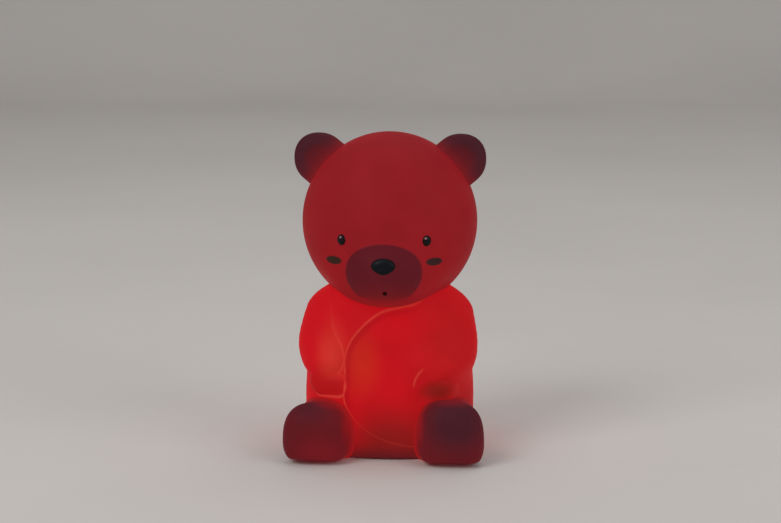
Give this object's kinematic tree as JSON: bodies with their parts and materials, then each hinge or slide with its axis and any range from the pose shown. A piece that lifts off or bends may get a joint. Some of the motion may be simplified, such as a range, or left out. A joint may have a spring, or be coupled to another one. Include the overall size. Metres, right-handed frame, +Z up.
{
  "type": "bear night light",
  "caption": "Seated soft silicone bear night light over a rechargeable lamp base, with an underside mode button and a charging port bung at the back.",
  "frame": {"origin": "on the surface the bear sits on, under the middle of the whole object's box", "axes": "+Z up, the bear faces -Y, +X towards the bear's left hand"},
  "size_m": [0.0934, 0.086, 0.15],
  "materials": {
    "head_silicone": "matt translucent silicone, softly lit from inside",
    "ear_silicone": "matt translucent silicone, dim",
    "muzzle_silicone": "matt translucent silicone, dim",
    "robe_silicone": "matt translucent silicone, brightly lit from inside",
    "paw_silicone": "matt translucent silicone, lit from inside",
    "foot_silicone": "matt translucent silicone, dim",
    "black_gloss": "gloss black",
    "white_shell": "fine satin moulded plastic",
    "grey_rubber": "matt rubber",
    "frosted": "frosted diffuser plastic",
    "green_board": "solder mask",
    "white_board": "white solder mask",
    "lamp_yellow": "clear lamp lens over phosphor",
    "steel": "bright zinc plate",
    "black_plastic": "matt black plastic",
    "foam": "double-sided foam tape",
    "cell_foil": "laminated foil pouch",
    "lead_red": "insulated lead"
  },
  "bodies": {
    "bear": {"head_skin": "head_silicone", "torso_skin": "robe_silicone", "wrap_panel": "robe_silicone", "muzzle": "muzzle_silicone", "nose": "black_gloss", "ear_right": "ear_silicone", "eye_right": "black_gloss", "arm_right": "robe_silicone", "paw_right": "paw_silicone", "leg_right": "foot_silicone", "ear_left": "ear_silicone", "eye_left": "black_gloss", "arm_left": "robe_silicone", "paw_left": "paw_silicone", "leg_left": "foot_silicone", "neck_collar": "white_shell", "neck_lock_ring": "white_shell", "base_housing": "white_shell", "base_cover": "white_shell", "anti_slip_ring": "grey_rubber", "tact_switch": "black_plastic", "main_board": "green_board", "control_chip": "black_plastic", "battery_plug": "white_shell", "battery_cell": "cell_foil", "battery_foam_pad": "foam", "battery_lead": "lead_red", "led_lead": "lead_red", "usb_lead": "lead_red", "usb_board": "green_board", "usb_socket": "steel", "usb_tongue": "black_plastic", "led_board": "white_board", "led_lamp_1": "lamp_yellow", "led_lamp_2": "lamp_yellow", "led_lamp_3": "lamp_yellow", "led_lamp_4": "lamp_yellow", "led_lamp_5": "lamp_yellow", "led_lamp_6": "lamp_yellow", "diffuser_dome": "frosted", "cover_screw_1": "steel", "cover_screw_2": "steel", "cover_screw_3": "steel", "board_screw_1": "steel", "board_screw_2": "steel", "led_screw_1": "steel", "led_screw_2": "steel"},
    "button": {"mode_button": "grey_rubber"},
    "plunger": {"tact_plunger": "black_plastic"},
    "port_bung": {"port_plug": "robe_silicone"}
  },
  "joints": [
    {"name": "button_press", "type": "slide", "parent": "bear", "child": "button", "axis": [0, 0, 1], "range_m": [0, 0.0006], "stiffness_N_per_m": 1200},
    {"name": "plunger_press", "type": "slide", "parent": "bear", "child": "plunger", "axis": [0, 0, 1], "range_m": [0, 0.0006]},
    {"name": "bung_swing", "type": "hinge", "parent": "bear", "child": "port_bung", "pos_m": [0, 0.0395, 0.0166], "axis": [1, 0, 0], "range_deg": [0, 110], "stiffness_Nm_per_rad": 0.0002}
  ],
  "couplings": [
    {"joint": "plunger_press", "follows": "button_press", "ratio": 1}
  ]
}
